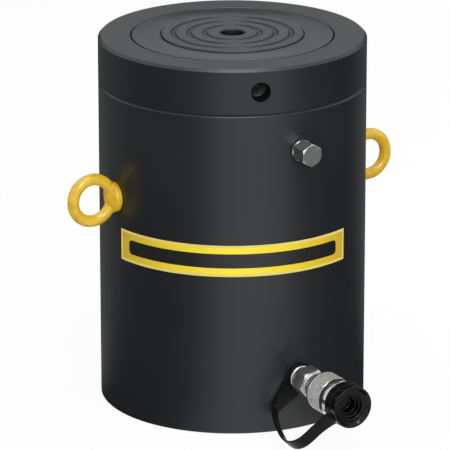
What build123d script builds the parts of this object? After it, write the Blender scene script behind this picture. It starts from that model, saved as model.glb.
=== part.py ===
from build123d import *
import os
from math import cos, pi, radians, sin, sqrt, tan

# A lock nut hydraulic cylinder: a single acting, load return jack with a threaded plunger
# and a collar nut that holds the load mechanically. Millimetres, +Z up, the origin at the
# centre of the base's underside, the oil coupler towards -Y and the lifting eyes on +-X.

os.makedirs("parts", exist_ok=True)

# Driving dimensions. Clearances, steps and walls are measured on the radius.
body_d = 310.0
barrel_wall = 35.0
base_t = 45.0
nut_h = 53.0
stroke = 200.0
barrel_top_chamfer = 2.5
base_chamfer = 1.0
bore_corner = 5.0
overcut = 1.0

# Plunger and its thread, drawn plain at the crest diameter
thread_step = 2.8
thread_clearance = 0.08
plunger_chamfer = 1.0
piston_clearance = 1.0
foot_step = 8.0
foot_h = 35.0
foot_chamfer = 6.0
piston_land = 5.0
seal_land = 24.9
piston_end_gap = 2.0
ring_running_clearance = 0.06

# Rings on the piston
bearing_ring_h = 24.0
bearing_ring_t = 3.0
seal_h = 11.5
seal_t = 8.5
seal_lip_w = 1.7
seal_lip_depth = 5.0
backup_ring_h = 4.0
ring_side_gap = 0.1
ring_split = 3.0

# Gland at the top of the barrel
gland_bush_t = 7.7
gland_bush_h = 9.0
wiper_h = 7.0
wiper_lip = 2.5
wiper_lip_h = 1.75
snap_ring_t = 3.0
snap_ring_groove = 3.0
snap_ring_w = 6.0
snap_ring_gap = 30.0
gland_lip = 4.3

# Lock nut
nut_top_chamfer = 3.0
nut_bottom_chamfer = 1.0
nut_bore_chamfer = 1.0
tommy_hole_d = 23.0
tommy_hole_depth = 24.0
tommy_hole_count = 3
tommy_hole_azimuth = -107.9
drill_tip_angle = 118.0

# Saddle and its screw
saddle_d = 164.0
saddle_t = 30.0
saddle_proud = 2.0
saddle_clearance = 0.1
saddle_edge = 1.0
saddle_groove_count = 3
saddle_groove_inset = 17.5
saddle_groove_rim = 14.0
saddle_groove_w = 6.5
saddle_groove_depth = 2.4
saddle_hole_d = 28.0
saddle_hole_depth = 20.0
screw_d = 12.0
screw_head_d = 18.0
screw_head_h = 12.0
screw_length = 34.0
screw_socket_af = 10.0
screw_socket_depth = 6.0
screw_clearance = 0.5
thread_fit = 0.1

# Lifting eye bolts, to the usual forged M16 pattern
eye_z = 261.0
eye_thread_d = 16.0
eye_thread_length = 27.0
eye_hole_depth = 30.0
eye_spot_d = 38.0
eye_spot_depth = 1.2
eye_collar_d = 35.0
eye_collar_h = 8.0
eye_collar_edge = 1.0
eye_flare_h = 4.5
eye_flare_inset = 1.0
eye_ring_d = 63.0
eye_ring_hole_d = 36.0
eye_ring_sunk = 1.0
eye_thread_chamfer = 1.5

# Overflow port and its plug, which also limits the stroke
plug_thread_d = 13.2
plug_thread_length = 11.0
plug_hole_depth = 15.0
plug_drill_d = 5.0
plug_spot_d = 28.0
plug_spot_depth = 0.8
plug_flange_d = 25.0
plug_flange_t = 3.0
plug_hex_af = 24.0
plug_hex_inset = 0.4
plug_reach = 26.0
plug_washer_d = 22.0
plug_washer_t = 1.5

# Oil inlet, its nipple and the quick coupler. Distances run outwards from the barrel.
inlet_z = 62.5
inlet_drill_d = 8.0
inlet_thread_d = 17.0
inlet_hole_depth = 20.0
strap_ring_t = 3.0
strap_ring_d = 34.0
body_gap = 0.05
nipple_thread_length = 18.0
nipple_tip_chamfer = 1.0
nipple_flange_d = 31.0
nipple_flange_t = 5.0
nipple_hex_gap = 4.5
nipple_hex_af = 32.0
nipple_hex_turn = 10.0
nipple_hex_length = 21.0
nipple_hex_chamfer = 1.5
nipple_neck_d = 23.0
nipple_neck_length = 0.5
nipple_tail = 11.0
nipple_bore_d = 7.0
coupler_d = 29.0
coupler_length = 16.45
coupler_rim_d = 32.0
coupler_rim_w = 2.5
coupler_edge = 0.5
coupler_nose_d = 24.8
collar_length = 44.5
collar_d = 46.0
collar_taper_h = 3.0
collar_taper_length = 5.5
collar_groove_setback = 15.0
collar_groove_w = 1.4
collar_groove_depth = 0.6
collar_rim_w = 2.5
collar_rim_proud = 0.2
collar_rim_taper = 1.0
collar_fit = 0.05
collar_journal_d = 26.0
collar_ring_setback = 10.0
collar_ring_w = 1.5
collar_ring_d = 28.4
collar_ring_depth = 2.2
collar_ring_split = 2.0
collar_ring_clearance = 0.3
collar_side_gap = 0.2

# Check valve inside the coupler
valve_chamber_d = 15.0
valve_chamber_gap = 2.0
valve_ball_d = 13.0
valve_ball_inset = 11.0
valve_ball_gap = 0.05
valve_seat_d = 10.4
valve_throat_length = 5.1
socket_d = 19.0
socket_seal_setback = 17.0
socket_seal_d = 1.8
socket_seal_play = 0.2
valve_spring_wire_d = 1.1
valve_spring_d = 12.0
valve_spring_turns = 4.5
valve_spring_gap = 0.1

# Dust cap and its rubber tether
cap_d = 48.8
cap_length = 22.5
cap_gap = 0.3
cap_edge = 2.0
cap_dish_d = 40.0
cap_dish_depth = 2.5
cap_socket_d = 29.0
cap_socket_depth = 12.0
cap_socket_taper = 1.0
cap_pocket_d = 17.0
cap_pocket_depth = 20.0
cap_spigot_d = 18.8
cap_spigot_length = 11.0
cap_spigot_chamfer = 1.0
cap_band_at = 2.5
cap_band_w = 10.0
cap_band_t = 2.2
cap_band_proud = 0.5
cap_band_fit = 0.1
strap_width = 12.0
strap_solid_d = 5.2
tongue_gap = 1.8
arc_share = 0.45

# Route of the tether from the ring's tongue to the band on the cap
strap_route = [
    (-33.8, -157.0, 28.7),
    (-37.1, -162.0, 25.4),
    (-42.1, -174.5, 20.4),
    (-46.7, -190.0, 15.8),
    (-50.6, -206.0, 11.9),
    (-51.8, -217.5, 10.7),
    (-50.4, -228.3, 12.1),
    (-45.8, -236.6, 16.7),
    (-39.0, -240.9, 23.5),
    (-31.7, -243.1, 30.8),
    (-25.0, -247.0, 37.5),
    (-18.1, -251.3, 44.4),
]

# Sizes that follow from the driving ones
body_r = body_d / 2
bore_r = body_r - barrel_wall
thread_r = bore_r - thread_step
nut_bore_r = thread_r + thread_clearance
piston_r = bore_r - piston_clearance
foot_r = bore_r - foot_step
foot_top = base_t + foot_h
ring_outer_r = bore_r - ring_running_clearance
bearing_z = foot_top + piston_land
seal_z = bearing_z + bearing_ring_h + ring_side_gap + seal_land
backup_z = seal_z + seal_h
seal_groove_top = backup_z + backup_ring_h + ring_side_gap
piston_top = seal_groove_top + piston_land
overflow_z = seal_z + stroke
gland_r = thread_r + gland_bush_t
gland_z = piston_top + stroke + piston_end_gap
wiper_z = gland_z + gland_bush_h
snap_ring_z = wiper_z + wiper_h
snap_groove_top = snap_ring_z + snap_ring_t + ring_side_gap
snap_groove_r = gland_r + snap_ring_groove
barrel_h = snap_groove_top + gland_lip
nut_top = barrel_h + nut_h
saddle_r = saddle_d / 2
saddle_top = nut_top + saddle_proud
pocket_floor = saddle_top - saddle_t
screw_seat = saddle_top - saddle_hole_depth
screw_tip = screw_seat - screw_length
eye_seat = body_r - eye_spot_depth
eye_ring_minor_r = (eye_ring_d - eye_ring_hole_d) / 4
eye_ring_major_r = (eye_ring_d + eye_ring_hole_d) / 4
eye_centre = eye_seat - eye_ring_sunk + eye_ring_d / 2
plug_flange_at = plug_washer_t - plug_spot_depth
nipple_start = body_gap + strap_ring_t
nipple_tip = nipple_start - nipple_thread_length
nipple_hex_start = nipple_start + nipple_flange_t + nipple_hex_gap
nipple_hex_end = nipple_hex_start + nipple_hex_length
nipple_neck_end = nipple_hex_end + nipple_neck_length
nipple_tail_end = nipple_neck_end + nipple_tail
collar_start = nipple_neck_end + coupler_length
collar_end = collar_start + collar_length
collar_groove_at = collar_end - collar_groove_setback
collar_ring_at = collar_end - collar_ring_setback
socket_seal_at = collar_end - socket_seal_setback
valve_ball_at = collar_start + valve_ball_inset
cap_start = collar_end + cap_gap
cap_end = cap_start + cap_length
cap_band_r = cap_d / 2 + cap_band_proud
cap_band_start = cap_start + cap_band_at


def outward(distance, height):
    """A plane on the -Y side of the barrel, its normal pointing away from the barrel."""
    return Plane((0, -body_r - distance, height), x_dir=(1, 0, 0), z_dir=(0, -1, 0))


# Section plane of the coupler: local x is the distance from the barrel, local y the radius
coupler_section = Plane((0, -body_r, inlet_z), x_dir=(0, -1, 0), z_dir=(-1, 0, 0))
coupler_axis = Axis((0, 0, inlet_z), (0, -1, 0))


# Barrel with its closed base
with BuildPart() as cylinder_body:
    with BuildSketch(Plane.XZ):
        with BuildLine():
            Polyline(
                (0, 0),
                (body_r - base_chamfer, 0),
                (body_r, base_chamfer),
                (body_r, barrel_h - barrel_top_chamfer),
                (body_r - barrel_top_chamfer, barrel_h),
                (gland_r, barrel_h),
                (gland_r, snap_groove_top),
                (snap_groove_r, snap_groove_top),
                (snap_groove_r, snap_ring_z),
                (gland_r, snap_ring_z),
                (gland_r, gland_z),
                (bore_r, gland_z),
                (bore_r, base_t + bore_corner),
                (bore_r - bore_corner, base_t),
                (0, base_t),
                close=True,
            )
        make_face()
    revolve(axis=Axis.Z)
    drill_depth = barrel_wall + overcut
    with Locations(outward(0, overflow_z)):
        Hole(plug_spot_d / 2, plug_spot_depth)
        CounterBoreHole(plug_drill_d / 2, plug_thread_d / 2 + thread_fit, plug_hole_depth, drill_depth)
    with Locations(outward(0, inlet_z)):
        CounterBoreHole(inlet_drill_d / 2, inlet_thread_d / 2 + thread_fit, inlet_hole_depth, drill_depth)
    for side in (1, -1):
        with Locations(Plane((side * body_r, 0, eye_z), z_dir=(side, 0, 0))):
            Hole(eye_spot_d / 2, eye_spot_depth)
            Hole(eye_thread_d / 2 + thread_fit, eye_hole_depth)
cylinder_body.part.label = "cylinder_body"
export_step(cylinder_body.part, "parts/cylinder_body.step")

# Bronze bush that guides the plunger's thread crests
with BuildPart() as guide_bush:
    with BuildSketch(Plane.XY.offset(gland_z)):
        Circle(gland_r)
        Circle(thread_r + ring_running_clearance, mode=Mode.SUBTRACT)
    extrude(amount=gland_bush_h)
guide_bush.part.label = "guide_bush"
export_step(guide_bush.part, "parts/guide_bush.step")

# Wiper ring above the bush, its lip leaning in on the plunger
with BuildPart() as rod_wiper:
    with BuildSketch(Plane.XZ):
        with BuildLine():
            Polyline(
                (thread_r + wiper_lip, wiper_z),
                (gland_r, wiper_z),
                (gland_r, snap_ring_z),
                (thread_r + ring_running_clearance, snap_ring_z),
                (thread_r + ring_running_clearance, snap_ring_z - wiper_lip_h),
                close=True,
            )
        make_face()
    revolve(axis=Axis.Z)
rod_wiper.part.label = "rod_wiper"
export_step(rod_wiper.part, "parts/rod_wiper.step")

# Internal snap ring that keeps the gland in the barrel
with BuildPart() as gland_retaining_ring:
    with BuildSketch(Plane.XY.offset(snap_ring_z)):
        Circle(snap_groove_r)
        Circle(snap_groove_r - snap_ring_w, mode=Mode.SUBTRACT)
        with Locations((0, snap_groove_r - snap_ring_w / 2)):
            Rectangle(snap_ring_gap, 2 * snap_ring_w, mode=Mode.SUBTRACT)
    extrude(amount=snap_ring_t)
gland_retaining_ring.part.label = "gland_retaining_ring"
export_step(gland_retaining_ring.part, "parts/gland_retaining_ring.step")

# Plunger: foot, piston head with its grooves, and the threaded stem with the saddle's pocket
bearing_groove_r = ring_outer_r - bearing_ring_t
seal_groove_r = ring_outer_r - seal_t
with BuildPart() as plunger:
    with BuildSketch(Plane.XZ):
        with BuildLine():
            Polyline(
                (0, base_t),
                (foot_r - foot_chamfer, base_t),
                (foot_r, base_t + foot_chamfer),
                (foot_r, foot_top),
                (piston_r, foot_top),
                (piston_r, bearing_z),
                (bearing_groove_r, bearing_z),
                (bearing_groove_r, bearing_z + bearing_ring_h + ring_side_gap),
                (piston_r, bearing_z + bearing_ring_h + ring_side_gap),
                (piston_r, seal_z),
                (seal_groove_r, seal_z),
                (seal_groove_r, seal_groove_top),
                (piston_r, seal_groove_top),
                (piston_r, piston_top),
                (thread_r, piston_top),
                (thread_r, nut_top - plunger_chamfer),
                (thread_r - plunger_chamfer, nut_top),
                (saddle_r + saddle_clearance, nut_top),
                (saddle_r + saddle_clearance, pocket_floor),
                (screw_d / 2 + thread_fit, pocket_floor),
                (screw_d / 2 + thread_fit, screw_tip - screw_d / 2),
                (0, screw_tip - screw_d / 2),
                close=True,
            )
        make_face()
    revolve(axis=Axis.Z)
plunger.part.label = "plunger"
export_step(plunger.part, "parts/plunger.step")

# Split bearing strip low on the piston
with BuildPart() as piston_bearing_ring:
    with BuildSketch(Plane.XY.offset(bearing_z)):
        Circle(ring_outer_r)
        Circle(bearing_groove_r, mode=Mode.SUBTRACT)
        with Locations((0, ring_outer_r - bearing_ring_t / 2)):
            Rectangle(ring_split, 2 * bearing_ring_t, mode=Mode.SUBTRACT)
    extrude(amount=bearing_ring_h)
piston_bearing_ring.part.label = "piston_bearing_ring"
export_step(piston_bearing_ring.part, "parts/piston_bearing_ring.step")

# Lip seal, its mouth facing the oil below
with BuildPart() as piston_seal:
    with BuildSketch(Plane.XZ):
        seal_middle_r = (ring_outer_r + seal_groove_r) / 2
        with BuildLine():
            Polyline(
                (seal_groove_r, seal_z),
                (seal_groove_r + seal_lip_w, seal_z),
                (seal_middle_r, seal_z + seal_lip_depth),
                (ring_outer_r - seal_lip_w, seal_z),
                (ring_outer_r, seal_z),
                (ring_outer_r, backup_z),
                (seal_groove_r, backup_z),
                close=True,
            )
        make_face()
    revolve(axis=Axis.Z)
piston_seal.part.label = "piston_seal"
export_step(piston_seal.part, "parts/piston_seal.step")

# Hard backup ring that keeps the seal out of the running gap
with BuildPart() as seal_backup_ring:
    with BuildSketch(Plane.XY.offset(backup_z)):
        Circle(ring_outer_r)
        Circle(seal_groove_r, mode=Mode.SUBTRACT)
    extrude(amount=backup_ring_h)
seal_backup_ring.part.label = "seal_backup_ring"
export_step(seal_backup_ring.part, "parts/seal_backup_ring.step")

# Grooved saddle that takes the load
groove_first_r = saddle_hole_d / 2 + saddle_groove_inset
groove_pitch = (saddle_r - saddle_groove_rim - groove_first_r) / (saddle_groove_count - 1)
half_w = saddle_groove_w / 2
groove_arc_r = (half_w**2 + saddle_groove_depth**2) / (2 * saddle_groove_depth)
groove_arc_z = saddle_top - saddle_groove_depth + groove_arc_r
with BuildPart() as saddle:
    with BuildSketch(Plane.XZ):
        with BuildLine():
            Polyline(
                (screw_d / 2 + screw_clearance, pocket_floor),
                (saddle_r - saddle_edge, pocket_floor),
                (saddle_r, pocket_floor + saddle_edge),
                (saddle_r, saddle_top - saddle_edge),
                (saddle_r - saddle_edge, saddle_top),
                (saddle_hole_d / 2 + saddle_edge, saddle_top),
                (saddle_hole_d / 2, saddle_top - saddle_edge),
                (saddle_hole_d / 2, screw_seat),
                (screw_d / 2 + screw_clearance, screw_seat),
                close=True,
            )
        make_face()
    revolve(axis=Axis.Z)
    with BuildSketch(Plane.XZ):
        with Locations([(groove_first_r + groove_pitch * i, groove_arc_z) for i in range(saddle_groove_count)]):
            Circle(groove_arc_r)
    revolve(axis=Axis.Z, mode=Mode.SUBTRACT)
saddle.part.label = "saddle"
export_step(saddle.part, "parts/saddle.step")

# Socket head screw down the middle of the saddle
with BuildPart() as saddle_screw:
    with BuildSketch(Plane.XY.offset(screw_seat)):
        Circle(screw_head_d / 2)
    extrude(amount=screw_head_h)
    with BuildSketch(Plane.XY.offset(screw_tip)):
        Circle(screw_d / 2)
    extrude(amount=screw_length)
    with BuildSketch(Plane.XY.offset(screw_seat + screw_head_h)):
        RegularPolygon(screw_socket_af / 2, 6, major_radius=False)
    extrude(amount=-screw_socket_depth, mode=Mode.SUBTRACT)
    chamfer(saddle_screw.faces().sort_by(Axis.Z)[-1].outer_wire().edges(), saddle_edge)
saddle_screw.part.label = "saddle_screw"
export_step(saddle_screw.part, "parts/saddle_screw.step")

# Lock nut with three blind spanner holes, drilled with a pointed bit
with BuildPart() as lock_nut:
    with BuildSketch(Plane.XZ):
        with BuildLine():
            Polyline(
                (nut_bore_r + nut_bore_chamfer, barrel_h),
                (body_r - nut_bottom_chamfer, barrel_h),
                (body_r, barrel_h + nut_bottom_chamfer),
                (body_r, nut_top - nut_top_chamfer),
                (body_r - nut_top_chamfer, nut_top),
                (nut_bore_r + nut_bore_chamfer, nut_top),
                (nut_bore_r, nut_top - nut_bore_chamfer),
                (nut_bore_r, barrel_h + nut_bore_chamfer),
                close=True,
            )
        make_face()
    revolve(axis=Axis.Z)
    tommy_r = tommy_hole_d / 2
    drill_tip_h = tommy_r / tan(radians(drill_tip_angle / 2))
    for i in range(tommy_hole_count):
        angle = radians(tommy_hole_azimuth + 360 / tommy_hole_count * i)
        mouth = Plane(
            (body_r * cos(angle), body_r * sin(angle), barrel_h + nut_h / 2),
            z_dir=(cos(angle), sin(angle), 0),
        )
        with Locations(mouth):
            Hole(tommy_r, tommy_hole_depth)
        with Locations(mouth.offset(-tommy_hole_depth)):
            Cone(
                tommy_r,
                0,
                drill_tip_h,
                rotation=(180, 0, 0),
                align=(Align.CENTER, Align.CENTER, Align.MIN),
                mode=Mode.SUBTRACT,
            )
lock_nut.part.label = "lock_nut"
export_step(lock_nut.part, "parts/lock_nut.step")

# Forged lifting eyes: the ring, a collar flaring into it, and the thread. The left one mirrors the right.
eye_axis = Axis((0, 0, eye_z), (1, 0, 0))
eye_section = Plane((0, 0, eye_z), x_dir=(1, 0, 0), z_dir=(0, -1, 0))
with BuildPart() as eye_bolt_right:
    with BuildSketch(Plane.XY.offset(eye_z)):
        with Locations((eye_centre + eye_ring_major_r, 0)):
            Circle(eye_ring_minor_r)
    revolve(axis=Axis((eye_centre, 0, eye_z), (0, 1, 0)))
    with BuildSketch(eye_section):
        with BuildLine():
            collar_top = eye_seat + eye_collar_h
            flare_foot = (collar_top, eye_collar_d / 2 - eye_collar_edge)
            flare_head = (collar_top + eye_flare_h, eye_ring_minor_r - eye_flare_inset)
            flare_bend = (collar_top + eye_flare_inset, flare_head[1] + 2 * eye_flare_inset)
            Polyline(
                flare_foot,
                (collar_top - eye_collar_edge, eye_collar_d / 2),
                (eye_seat, eye_collar_d / 2),
                (eye_seat, 0),
                (flare_head[0], 0),
                flare_head,
            )
            Bezier(flare_head, flare_bend, flare_foot)
        make_face()
    revolve(axis=eye_axis)
    with BuildSketch(eye_section):
        with Locations((eye_seat - eye_ring_d / 2, 0)):
            Rectangle(eye_ring_d, 2 * eye_ring_d)
    extrude(amount=eye_ring_d, both=True, mode=Mode.SUBTRACT)
    with BuildSketch(eye_section):
        with BuildLine():
            shank_r = eye_thread_d / 2
            shank_tip = eye_seat - eye_thread_length
            Polyline(
                (eye_seat, 0),
                (eye_seat, shank_r),
                (shank_tip + eye_thread_chamfer, shank_r),
                (shank_tip, shank_r - eye_thread_chamfer),
                (shank_tip, 0),
                close=True,
            )
        make_face()
    revolve(axis=eye_axis)
with BuildPart() as eye_bolt_left:
    mirror(eye_bolt_right.part, about=Plane.YZ)
eye_bolt_right.part.label = "eye_bolt_right"
eye_bolt_left.part.label = "eye_bolt_left"
export_step(eye_bolt_right.part, "parts/eye_bolt_right.step")
export_step(eye_bolt_left.part, "parts/eye_bolt_left.step")

# Overflow plug with a round flange and a turned hexagon, on a copper washer
with BuildPart() as overflow_plug:
    with BuildSketch(outward(plug_flange_at, overflow_z)):
        Circle(plug_flange_d / 2)
    extrude(amount=plug_flange_t)
    with BuildSketch(outward(plug_flange_at + plug_flange_t, overflow_z)):
        RegularPolygon(plug_hex_af / 2, 6, major_radius=False, rotation=30)
    extrude(amount=plug_reach - plug_flange_at - plug_flange_t)
    with BuildSketch(outward(plug_flange_at, overflow_z)):
        Circle(plug_thread_d / 2)
    extrude(amount=-plug_thread_length)
    with BuildSketch(Plane((0, -body_r, overflow_z), x_dir=(0, -1, 0), z_dir=(-1, 0, 0))):
        with BuildLine():
            chamfer_r = plug_hex_af / 2 - plug_hex_inset
            Polyline(
                (plug_reach, chamfer_r),
                (plug_reach, chamfer_r + plug_hex_af),
                (plug_reach - plug_hex_af * tan(pi / 6), chamfer_r + plug_hex_af),
                close=True,
            )
        make_face()
    revolve(axis=Axis((0, 0, overflow_z), (0, -1, 0)), mode=Mode.SUBTRACT)
overflow_plug.part.label = "overflow_plug"
export_step(overflow_plug.part, "parts/overflow_plug.step")

with BuildPart() as overflow_washer:
    with BuildSketch(outward(-plug_spot_depth, overflow_z)):
        Circle(plug_washer_d / 2)
        Circle(plug_thread_d / 2 + thread_fit, mode=Mode.SUBTRACT)
    extrude(amount=plug_washer_t)
overflow_washer.part.label = "overflow_washer"
export_step(overflow_washer.part, "parts/overflow_washer.step")

# Rubber ring of the tether, clamped under the nipple, with a tongue that tapers to the strap
with BuildPart() as strap_ring:
    with BuildSketch(outward(body_gap, inlet_z)):
        ring_r = strap_ring_d / 2
        strap_root = Vector(strap_route[0][0], strap_route[0][2] - inlet_z)
        tongue_end = strap_root - strap_root.normalized() * tongue_gap
        side_way = tongue_end.normalized().rotate(Axis.Z, 90)
        with BuildLine():
            Polyline(
                side_way * ring_r,
                tongue_end + side_way * strap_width / 2,
                tongue_end - side_way * strap_width / 2,
                side_way * -ring_r,
                close=True,
            )
        make_face()
        Circle(ring_r)
        Circle(inlet_thread_d / 2 + thread_fit, mode=Mode.SUBTRACT)
    extrude(amount=strap_ring_t)
strap_ring.part.label = "strap_ring"
export_step(strap_ring.part, "parts/strap_ring.step")

# Nipple that screws into the barrel and carries the coupler
with BuildPart() as port_adapter:
    with BuildSketch(coupler_section):
        with BuildLine():
            Polyline(
                (nipple_tip, nipple_bore_d / 2),
                (nipple_tip, inlet_thread_d / 2 - nipple_tip_chamfer),
                (nipple_tip + nipple_tip_chamfer, inlet_thread_d / 2),
                (nipple_start, inlet_thread_d / 2),
                (nipple_start, nipple_flange_d / 2),
                (nipple_start + nipple_flange_t, nipple_flange_d / 2),
                (nipple_start + nipple_flange_t, nipple_neck_d / 2),
                (nipple_neck_end, nipple_neck_d / 2),
                (nipple_neck_end, inlet_thread_d / 2),
                (nipple_tail_end, inlet_thread_d / 2),
                (nipple_tail_end, nipple_bore_d / 2),
                close=True,
            )
        make_face()
    revolve(axis=coupler_axis)
    with BuildSketch(outward(nipple_hex_start, inlet_z)):
        RegularPolygon(nipple_hex_af / 2, 6, major_radius=False, rotation=nipple_hex_turn)
        Circle(inlet_thread_d / 2, mode=Mode.SUBTRACT)
    extrude(amount=nipple_hex_length)
    hex_corner_r = nipple_hex_af / sqrt(3)
    for at, into in ((nipple_hex_start, 1), (nipple_hex_end, -1)):
        with BuildSketch(coupler_section):
            with BuildLine():
                Polyline(
                    (at, hex_corner_r - nipple_hex_chamfer),
                    (at, hex_corner_r + 2 * nipple_hex_chamfer),
                    (at + into * 1.5 * nipple_hex_chamfer, hex_corner_r + 2 * nipple_hex_chamfer),
                    close=True,
                )
            make_face()
        revolve(axis=coupler_axis, mode=Mode.SUBTRACT)
port_adapter.part.label = "port_adapter"
export_step(port_adapter.part, "parts/port_adapter.step")

# Coupler body: rim, threaded tail, valve chamber, throat and the socket for the hose's half
chamber_start = nipple_tail_end + valve_chamber_gap
seat_at = valve_ball_at + valve_ball_gap + sqrt(valve_ball_d**2 - valve_seat_d**2) / 2
socket_start = seat_at + valve_throat_length
journal_r = collar_journal_d / 2
nose_r = coupler_nose_d / 2
ring_groove_r = collar_ring_d / 2 - collar_ring_depth
seal_groove_half = socket_seal_d / 2 + socket_seal_play
seal_groove_outer = socket_d / 2 + socket_seal_d
coupler_rim_end = nipple_neck_end + coupler_rim_w
with BuildPart() as coupler_body:
    with BuildSketch(coupler_section):
        with BuildLine():
            Polyline(
                (nipple_neck_end, inlet_thread_d / 2 + thread_fit),
                (nipple_neck_end, coupler_rim_d / 2 - coupler_edge),
                (nipple_neck_end + coupler_edge, coupler_rim_d / 2),
                (coupler_rim_end - coupler_edge, coupler_rim_d / 2),
                (coupler_rim_end, coupler_rim_d / 2 - coupler_edge),
                (coupler_rim_end, coupler_d / 2),
                (collar_start - collar_side_gap, coupler_d / 2),
                (collar_start - collar_side_gap, journal_r),
                (collar_ring_at, journal_r),
                (collar_ring_at, ring_groove_r),
                (collar_ring_at + collar_ring_w, ring_groove_r),
                (collar_ring_at + collar_ring_w, nose_r),
                (collar_end, nose_r),
                (collar_end, socket_d / 2),
                (socket_seal_at + seal_groove_half, socket_d / 2),
                (socket_seal_at + seal_groove_half, seal_groove_outer),
                (socket_seal_at - seal_groove_half, seal_groove_outer),
                (socket_seal_at - seal_groove_half, socket_d / 2),
                (socket_start, socket_d / 2),
                (socket_start, valve_seat_d / 2),
                (seat_at, valve_seat_d / 2),
                (seat_at, valve_chamber_d / 2),
                (chamber_start, valve_chamber_d / 2),
                (chamber_start, inlet_thread_d / 2 + thread_fit),
                close=True,
            )
        make_face()
    revolve(axis=coupler_axis)
coupler_body.part.label = "coupler_body"
export_step(coupler_body.part, "parts/coupler_body.step")

# Free turning collar that draws the two coupler halves together
collar_shoulder = collar_ring_at - collar_side_gap
with BuildPart() as coupler_collar:
    with BuildSketch(coupler_section):
        collar_r = collar_d / 2
        groove_end = collar_groove_at + collar_groove_w
        rim_at = collar_end - collar_rim_w
        ring_space_r = collar_ring_d / 2 + collar_ring_clearance
        with BuildLine():
            Polyline(
                (collar_start, journal_r + collar_fit),
                (collar_start, collar_r - collar_taper_h),
                (collar_start + collar_taper_length, collar_r),
                (collar_groove_at, collar_r),
                (collar_groove_at, collar_r - collar_groove_depth),
                (groove_end, collar_r - collar_groove_depth),
                (groove_end, collar_r),
                (rim_at - collar_rim_taper, collar_r),
                (rim_at, collar_r - collar_groove_depth),
                (rim_at, collar_r + collar_rim_proud),
                (collar_end, collar_r + collar_rim_proud),
                (collar_end, ring_space_r),
                (collar_shoulder, ring_space_r),
                (collar_shoulder, journal_r + collar_fit),
                close=True,
            )
        make_face()
    revolve(axis=coupler_axis)
coupler_collar.part.label = "coupler_collar"
export_step(coupler_collar.part, "parts/coupler_collar.step")

# Wire ring that keeps the collar on the coupler
with BuildPart() as collar_retaining_ring:
    with BuildSketch(outward(collar_ring_at, inlet_z)):
        Circle(collar_ring_d / 2)
        Circle(ring_groove_r, mode=Mode.SUBTRACT)
        with Locations((0, collar_ring_d / 2 - collar_ring_depth / 2)):
            Rectangle(collar_ring_split, 2 * collar_ring_depth, mode=Mode.SUBTRACT)
    extrude(amount=collar_ring_w)
collar_retaining_ring.part.label = "collar_retaining_ring"
export_step(collar_retaining_ring.part, "parts/collar_retaining_ring.step")

with BuildPart() as coupler_o_ring:
    with BuildSketch(coupler_section):
        with Locations((socket_seal_at, socket_d / 2 + socket_seal_d / 2)):
            Circle(socket_seal_d / 2)
    revolve(axis=coupler_axis)
coupler_o_ring.part.label = "coupler_o_ring"
export_step(coupler_o_ring.part, "parts/coupler_o_ring.step")

with BuildPart() as valve_ball:
    with Locations((0, -body_r - valve_ball_at, inlet_z)):
        Sphere(valve_ball_d / 2)
valve_ball.part.label = "valve_ball"
export_step(valve_ball.part, "parts/valve_ball.step")

# Spring between the nipple's end and the ball
spring_start = nipple_tail_end + valve_spring_wire_d / 2 + valve_spring_gap
spring_coil_r = (valve_spring_d - valve_spring_wire_d) / 2
ball_shadow = sqrt((valve_ball_d / 2 + valve_spring_wire_d / 2) ** 2 - spring_coil_r**2)
spring_end = valve_ball_at - ball_shadow - valve_spring_gap
with BuildPart() as valve_spring:
    with BuildLine() as coil:
        Helix(
            (spring_end - spring_start) / valve_spring_turns,
            spring_end - spring_start,
            spring_coil_r,
            center=(0, -body_r - spring_start, inlet_z),
            direction=(0, -1, 0),
        )
    with BuildSketch(Plane(coil.line @ 0, z_dir=coil.line % 0)):
        Circle(valve_spring_wire_d / 2)
    sweep(path=coil.line)
valve_spring.part.label = "valve_spring"
export_step(valve_spring.part, "parts/valve_spring.step")

# Dust cap: a spigot into the coupler, a groove for its band, and the stepped socket in front
with BuildPart() as dust_cap:
    with BuildSketch(coupler_section):
        cap_r = cap_d / 2
        spigot_tip = cap_start - cap_spigot_length
        groove_r = cap_band_r - cap_band_t
        band_end = cap_band_start + cap_band_w
        with BuildLine():
            Polyline(
                (spigot_tip, 0),
                (spigot_tip, cap_spigot_d / 2 - cap_spigot_chamfer),
                (spigot_tip + cap_spigot_chamfer, cap_spigot_d / 2),
                (cap_start, cap_spigot_d / 2),
                (cap_start, cap_r - cap_edge),
                (cap_start + cap_edge, cap_r),
                (cap_band_start - cap_band_fit, cap_r),
                (cap_band_start - cap_band_fit, groove_r),
                (band_end + cap_band_fit, groove_r),
                (band_end + cap_band_fit, cap_r),
                (cap_end - cap_edge, cap_r),
                (cap_end, cap_r - cap_edge),
                (cap_end, cap_dish_d / 2),
                (cap_end - cap_dish_depth, cap_socket_d / 2),
                (cap_end - cap_socket_depth, cap_socket_d / 2 - cap_socket_taper),
                (cap_end - cap_socket_depth, cap_pocket_d / 2),
                (cap_end - cap_pocket_depth, cap_pocket_d / 2),
                (cap_end - cap_pocket_depth, 0),
                close=True,
            )
        make_face()
    revolve(axis=coupler_axis)
dust_cap.part.label = "dust_cap"
export_step(dust_cap.part, "parts/dust_cap.step")

# Band of the tether, snapped into the cap's groove
with BuildPart() as strap_cap_ring:
    with BuildSketch(outward(cap_band_start, inlet_z)):
        Circle(cap_band_r)
        Circle(cap_band_r - cap_band_t, mode=Mode.SUBTRACT)
    extrude(amount=cap_band_w)
strap_cap_ring.part.label = "strap_cap_ring"
export_step(strap_cap_ring.part, "parts/strap_cap_ring.step")


def corner_radii(route):
    """Radius of each corner: as large as its two runs allow."""
    points = [Vector(*p) for p in route]
    radii = []
    for before, here, after in zip(points, points[1:], points[2:]):
        turn = radians((here - before).get_angle(after - here))
        shorter = min((here - before).length, (after - here).length)
        radii.append(arc_share * shorter / tan(turn / 2))
    return radii


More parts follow.
